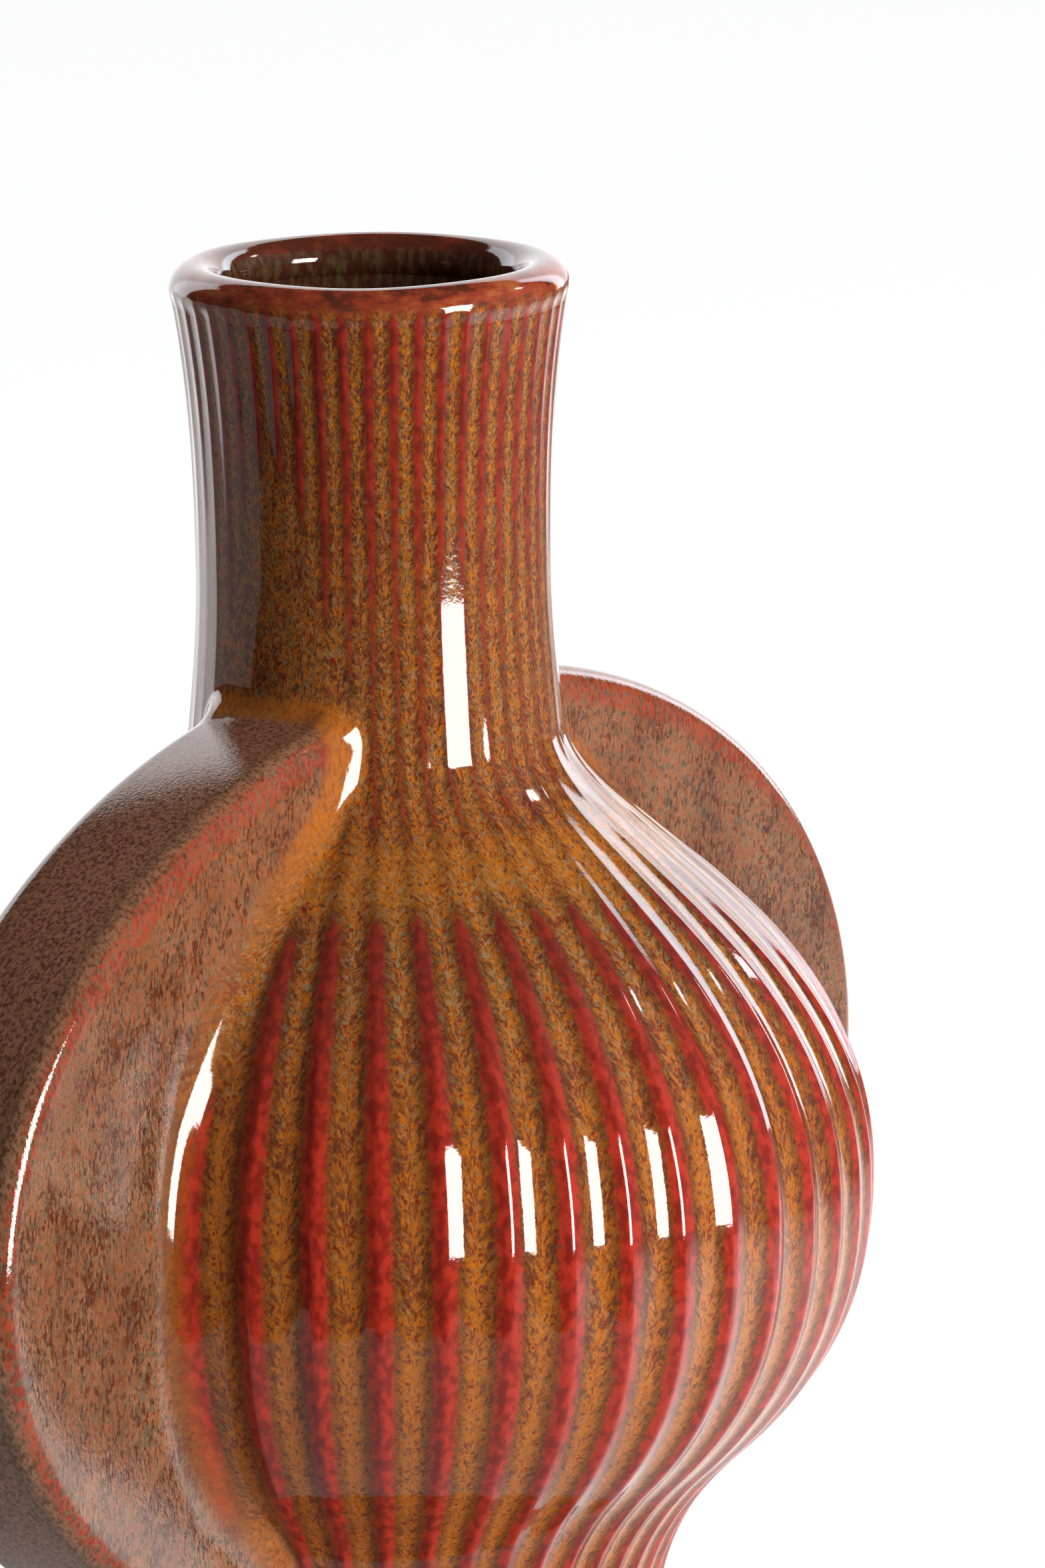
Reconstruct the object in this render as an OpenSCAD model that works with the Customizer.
// Winged bottle vase in glazed stoneware. A fluted, onion-shaped bulb stands on a flared foot and
// carries a slender fluted neck. An upright oval disc runs through the bulb and shows on both sides
// as two smooth hollow wings. Millimetres, +Z up, origin at the centre of the ground plane,
// wings along +X and -X.

/* [Heights] */
// Height of the waist between foot and bulb
waist_h = 47; // [38:1:54]
// Height of the widest circle of the bulb
belly_h = 131; // [118:1:142]
// Height where the shoulder turns into the neck
neck_root_h = 215; // [205:1:224]
// Height of the narrowest circle of the neck
neck_waist_h = 243; // [234:1:256]
// Height of the centre of the rolled lip
lip_h = 295; // [280:1:320]

/* [Diameters] */
// Outer diameter of the foot where it stands
foot_d = 122; // [112:1:140]
// Diameter of the waist
waist_d = 99.6; // [90:0.2:110]
// Largest diameter of the bulb
belly_d = 180; // [165:1:195]
// Diameter at the root of the neck
neck_root_d = 68.6; // [66:0.2:76]
// Smallest diameter of the neck
neck_waist_d = 65; // [64:0.5:70]
// Diameter of the bore in the neck
mouth_d = 53; // [44:0.5:54]
// Diameter of the roll that forms the lip
lip_roll_d = 10; // [8:0.5:11]

/* [Walls] */
// Wall of bulb and foot
wall = 7; // [5:0.5:9]
// Wall of the hollow wings
wing_wall = 6; // [4:0.5:8]
// Thickness of the vessel's floor
floor_t = 8; // [5:0.5:12]
// Height of the standing ring
ring_h = 4; // [3:0.5:6]
// Width of the standing ring
ring_w = 9; // [6:0.5:14]
// Depth of the recess under the floor
recess_h = 6; // [4.5:0.5:10]

/* [Fluting] */
// Number of flutes round the body
flutes = 48; // [36:2:56]
// Depth of a flute on the belly
flute_depth = 1.1; // [0.6:0.1:2.4]
// Depth of a flute on the neck
neck_flute_depth = 0.45; // [0.2:0.05:1]
// Length over which the flutes fade out beside a wing
flute_fade = 9; // [5:0.5:14]

/* [Wings] */
// Length of the oval disc, tip to tip
wing_span = 280; // [250:1:310]
// Height of the oval disc
wing_rise = 177; // [168:1:184]
// Thickness of the disc
wing_t = 29; // [22:0.5:34]
// Height of the disc's centre above the belly's widest circle
wing_lift = 4; // [0:0.5:8]
// Radius of the rounded rim corners
wing_corner_r = 4; // [2:0.5:8]
// Radius of the cove where a wing grows out of the bulb
cove_r = 9; // [4:0.5:12]
// How far each wing face is dished
wing_dish = 0.8; // [0:0.1:1.5]
// Diameter of the firing vent from each wing into the bulb
vent_d = 6; // [4:0.5:10]
// Height of the vents above the belly's widest circle
vent_lift = 20; // [8:1:30]

/* [Hidden] */

$fn = 96;
glaze = [0.60, 0.29, 0.10];
glaze_dark = [0.45, 0.25, 0.14];
glaze_red = [0.60, 0.15, 0.10];
bare_clay = [0.78, 0.68, 0.56];

overrun = 1;
foot_r = foot_d / 2;
waist_r = waist_d / 2;
belly_r = belly_d / 2;
neck_root_r = neck_root_d / 2;
neck_waist_r = neck_waist_d / 2;
mouth_r = mouth_d / 2;
lip_roll_r = lip_roll_d / 2;
lip_ring_r = mouth_r + lip_roll_r;

// The lip sits on the neck half a roll radius below its own centre
lip_seat_share = 0.5;
lip_seat_h = lip_h - lip_roll_r * lip_seat_share;
neck_top_r = lip_ring_r + lip_roll_r * sqrt(1 - lip_seat_share * lip_seat_share);

// Stations of the outline between the sizes above: share of height, share of radius, and slope as
// a multiple of the mean slope of that stretch
hip_shares = [0.405, 0.428, 2.41];
shoulder_shares = [0.595, 0.427, 1.60];
throat_shares = [0.833, 0.837, 1.68];
neck_root_slope_share = 0.15;
foot_slope_share = 1.7;
lip_slope_share = 2.6;

function between(h0, r0, h1, r1, s) =
    [h0 + (h1 - h0) * s[0], r0 + (r1 - r0) * s[1], s[2] * (r1 - r0) / (h1 - h0)];
rise_slope = (neck_root_r - belly_r) / (neck_root_h - belly_h);
// Each station is [height, radius, slope of the outline]
stations = [
    [0, foot_r, foot_slope_share * (waist_r - foot_r) / waist_h],
    [waist_h, waist_r, 0],
    between(waist_h, waist_r, belly_h, belly_r, hip_shares),
    [belly_h, belly_r, 0],
    between(belly_h, belly_r, neck_root_h, neck_root_r, shoulder_shares),
    between(belly_h, belly_r, neck_root_h, neck_root_r, throat_shares),
    [neck_root_h, neck_root_r, rise_slope * neck_root_slope_share],
    [neck_waist_h, neck_waist_r, 0],
    [lip_seat_h, neck_top_r, lip_slope_share * (neck_top_r - neck_waist_r) / (lip_seat_h - neck_waist_h)]
];

function span_at(z, i = 0) =
    i >= len(stations) - 2 || z < stations[i + 1][0] ? i : span_at(z, i + 1);
// Cubic curve through the two stations on either side of height z
function hermite(a, b, t) =
    let (h = b[0] - a[0], u = 1 - t)
    a[1] * (1 + 2 * t) * u * u + a[2] * h * t * u * u
    + b[1] * (3 - 2 * t) * t * t - b[2] * h * t * t * u;
function outline_r(z) =
    let (i = span_at(z), a = stations[i], b = stations[i + 1])
    hermite(a, b, (z - a[0]) / (b[0] - a[0]));
function lerp(a, b, t) = a + (b - a) * t;
function clamp01(x) = max(0, min(1, x));
function ease(x) = let (t = clamp01(x)) t * t * (3 - 2 * t);

// The oval disc
wing_a = wing_span / 2;
wing_b = wing_rise / 2;
wing_z = belly_h + wing_lift;
wing_half = wing_t / 2;
wing_top = wing_z + wing_b;
wing_bottom = wing_z - wing_b;
vent_h = belly_h + vent_lift;
vent_r = outline_r(vent_h);

// A flute is a hollow between two narrow ridges: 0 on the ridge, 1 in the middle of the hollow
steps_per_flute = 3;
flute_angle = 360 / flutes;
function hollow(u) = 1 - pow(2 * u - 1, 2);
// Flute depth follows the radius between its two set values
function depth_at(r) =
    lerp(neck_flute_depth, flute_depth, clamp01((r - neck_waist_r) / (belly_r - neck_waist_r)));
// The flutes fade beside the wings, and come back above and below the disc
function fade_at(r, angle, z) =
    let (side = (abs(r * sin(angle)) - wing_half) / flute_fade,
         above = (z - wing_top) / flute_fade,
         below = (wing_bottom - z) / flute_fade)
    max(ease(side), ease(above), ease(below));
function skin_r(r, angle, z, u) = r - depth_at(r) * hollow(u) * fade_at(r, angle, z);
function skin_point(r, z, k) =
    let (angle = flute_angle * (0.5 + k / steps_per_flute),
         u = (k % steps_per_flute) / steps_per_flute,
         s = skin_r(r, angle, z, u))
    [s * cos(angle), s * sin(angle), z];

// Ring heights of each member, as shares of its own height
foot_ring_shares = [0, 0.2, 0.4, 0.6, 0.8, 1];
bowl_ring_shares = [0, 0.1, 0.2, 0.32, 0.46, 0.62, 0.8, 1];
shoulder_ring_shares = [0, 0.2, 0.36, 0.5, 0.62, 0.74, 0.84, 0.92, 1];
neck_ring_shares = [0, 0.05, 0.11, 0.19, 0.32, 0.5, 0.68, 0.84, 1];
function heights(z0, z1, shares) = [for (s = shares) lerp(z0, z1, s)];
foot_heights = heights(ring_h, waist_h, foot_ring_shares);
bowl_heights = heights(waist_h, belly_h, bowl_ring_shares);
shoulder_heights = heights(belly_h, neck_root_h, shoulder_ring_shares);
neck_heights = heights(neck_root_h, lip_seat_h, neck_ring_shares);

// Solid with the fluted skin between the first and the last of the heights
module fluted_solid(hs) {
    n = flutes * steps_per_flute;
    last = len(hs) - 1;
    points = [for (z = hs) for (k = [0 : n - 1]) skin_point(outline_r(z), z, k)];
    bottom = [for (k = [0 : n - 1]) k];
    top = [for (k = [n - 1 : -1 : 0]) last * n + k];
    sides = [
        for (i = [0 : last - 1]) for (k = [0 : n - 1])
            let (a = i * n + k, b = i * n + (k + 1) % n)
            each [[a, a + n, b], [b, a + n, b + n]]
    ];
    polyhedron(points, concat(sides, [bottom, top]), convexity = 6);
}

// Plain solid of revolution on the same outline, moved inwards by inset and run on past its ends
module outline_solid(hs, inset, below, above) {
    last = len(hs) - 1;
    rotate_extrude()
        polygon(concat(
            [[0, hs[0] - below], [outline_r(hs[0]) - inset, hs[0] - below]],
            [for (z = hs) [outline_r(z) - inset, z]],
            [[outline_r(hs[last]) - inset, hs[last] + above], [0, hs[last] + above]]
        ));
}

// Outer radius of the built skin at height z, straight between the rings
function after_first(list) = [for (i = [1 : len(list) - 1]) list[i]];
ring_heights = concat(
    foot_heights,
    after_first(bowl_heights),
    after_first(shoulder_heights),
    after_first(neck_heights)
);
ring_radii = [for (z = ring_heights) [z, outline_r(z)]];
function built_r(z) = lookup(z, ring_radii);

// The wing is a loft of closed loops, one for each height on the seat. Each loop runs along the
// seat on the bulb, out through the cove, over the face and round the rim, and back.
tip_gap = 1;
row_gap = 2;
slope_step = 1;
cove_angles = [0, 30, 60, 90];
face_shares = [0.5];
corner_angles = [0, 45, 90];
seat_shares = [-0.67, -0.33, 0, 0.33, 0.67];
cove_room_share = 0.4;
least_cove = 0.5;

// Point of the oval at angle t, as [distance out, height]
function oval(t, shrink) = [(wing_a - shrink) * cos(t), wing_z + (wing_b - shrink) * sin(t)];
// Angle at which the oval, moved in by shrink, comes as near as gap to the bulb or the neck
function tip_angle(shrink, gap, free, met, tries = 24) =
    tries == 0 ? free :
    let (m = (free + met) / 2, p = oval(m, shrink))
    p[0] > built_r(p[1]) + gap + tip_gap ? tip_angle(shrink, gap, m, met, tries - 1)
        : tip_angle(shrink, gap, free, m, tries - 1);
// Point of the bulb's skin, or gap outside it, at height z and y off the disc's middle plane
function seat_point(z, y, gap) = [sqrt(pow(built_r(z) + gap, 2) - y * y), z];
function outline_slope(z) =
    (outline_r(z + slope_step) - outline_r(z - slope_step)) / (2 * slope_step);
function outline_normal(z) = let (m = outline_slope(z), n = sqrt(1 + m * m)) [1 / n, -m / n];
function at(p, y) = [p[0], y, p[1]];

// Points of the front half of a loop, from the seat to the rim
function half_loop(t, z, shrink, gap, cove) =
    let (
        half = wing_half - shrink,
        corner = min(wing_corner_r, half),
        normal = outline_normal(z),
        rim = oval(t, shrink),
        inner_rim = oval(t, shrink + corner),
        room = (rim - seat_point(z, 0, gap)) * normal,
        c = max(least_cove * cove_room_share, min(cove, room * cove_room_share)),
        cove_end = seat_point(z, half, gap) + normal * c
    )
    concat(
        [for (a = cove_angles)
            let (y = half + c * (1 - sin(a)))
            at(seat_point(z, y, gap) + normal * c * (1 - cos(a)), y)],
        [for (f = face_shares)
            at(lerp(cove_end, inner_rim, f), half - wing_dish * 4 * f * (1 - f))],
        [for (a = corner_angles)
            at(lerp(inner_rim, rim, sin(a)), half - corner * (1 - cos(a)))]
    );
function mirrored(points) =
    [for (i = [len(points) - 1 : -1 : 0]) [points[i][0], -points[i][1], points[i][2]]];
function full_loop(t, z, shrink, gap, cove) =
    let (half = half_loop(t, z, shrink, gap, cove))
    concat(
        half,
        mirrored(half),
        [for (f = seat_shares) at(seat_point(z, f * half[0][1], gap), f * half[0][1])]
    );

// Closed form of the wing, moved in by shrink from its outside and by gap from the bulb.
// Rows between the rings of the bulb keep its skin and the seat on the same straight lines.
module wing_form(shrink, gap, cove, rows_per_ring) {
    t0 = tip_angle(shrink, gap, 0, -90);
    t1 = tip_angle(shrink, gap, 0, 90);
    z0 = oval(t0, shrink)[1];
    z1 = oval(t1, shrink)[1];
    rings_met = [for (z = ring_heights) if (z > z0 + row_gap && z < z1 - row_gap) z];
    coarse = concat([z0], rings_met, [z1]);
    rows = concat(
        [for (i = [0 : len(coarse) - 2]) for (j = [0 : rows_per_ring - 1])
            lerp(coarse[i], coarse[i + 1], j / rows_per_ring)],
        [z1]
    );
    loops = [for (z = rows) full_loop(lerp(t0, t1, (z - z0) / (z1 - z0)), z, shrink, gap, cove)];
    n = len(loops[0]);
    last = len(rows) - 1;
    points = [for (loop = loops) each loop];
    bottom = [for (k = [n - 1 : -1 : 0]) k];
    top = [for (k = [0 : n - 1]) last * n + k];
    sides = [
        for (i = [0 : last - 1]) for (k = [0 : n - 1])
            let (a = i * n + k, b = i * n + (k + 1) % n)
            each [[a, b, a + n], [b, b + n, a + n]]
    ];
    polyhedron(points, concat([bottom, top], sides), convexity = 8);
}

// One hollow wing on the +X side, vented through its back into the bulb
module wing() {
    difference() {
        wing_form(0, 0, cove_r, 2);
        wing_form(wing_wall, wing_wall, least_cove, 1);
        translate([vent_r - wing_wall, 0, vent_h])
            rotate([0, 90, 0])
                cylinder(h = 3 * wing_wall, d = vent_d);
    }
}

module foot_ring() {
    color(bare_clay)
        difference() {
            rotate_extrude()
                polygon([[0, 0], [foot_r, 0], [outline_r(ring_h), ring_h], [0, ring_h]]);
            translate([0, 0, -overrun])
                cylinder(h = ring_h + 2 * overrun, r = foot_r - ring_w);
        }
}

module foot_inside() {
    outline_solid(foot_heights, wall, overrun, overrun);
}

module foot() {
    color(glaze)
        difference() {
            fluted_solid(foot_heights);
            foot_inside();
        }
}

// The floor fills the foot from wall to wall above the recess
module floor_disc() {
    color(glaze_dark)
        intersection() {
            foot_inside();
            translate([0, 0, recess_h])
                cylinder(h = floor_t, r = foot_r);
        }
}

// The bulb is two bowls luted together rim to rim, at its widest circle
module bowl() {
    color(glaze)
        difference() {
            fluted_solid(bowl_heights);
            outline_solid(bowl_heights, wall, overrun, overrun);
        }
}

module shoulder() {
    color(glaze)
        difference() {
            fluted_solid(shoulder_heights);
            outline_solid(shoulder_heights, wall, overrun, overrun);
            for (side = [0, 180])
                rotate([0, 0, side])
                    translate([vent_r - 2 * wall, 0, vent_h])
                        rotate([0, 90, 0])
                            cylinder(h = 3 * wall, d = vent_d);
        }
}

module right_wing() {
    color(glaze_dark)
        wing();
}

module left_wing() {
    color(glaze_dark)
        rotate([0, 0, 180])
            wing();
}

module neck() {
    color(glaze)
        difference() {
            fluted_solid(neck_heights);
            translate([0, 0, neck_root_h - overrun])
                cylinder(h = lip_seat_h - neck_root_h + 2 * overrun, r = mouth_r);
        }
}

module lip() {
    color(glaze_red)
        rotate_extrude()
            intersection() {
                translate([lip_ring_r, lip_h])
                    circle(r = lip_roll_r);
                translate([mouth_r, lip_seat_h])
                    square([lip_roll_d, lip_roll_d]);
            }
}

foot_ring();
foot();
floor_disc();
bowl();
shoulder();
left_wing();
right_wing();
neck();
lip();
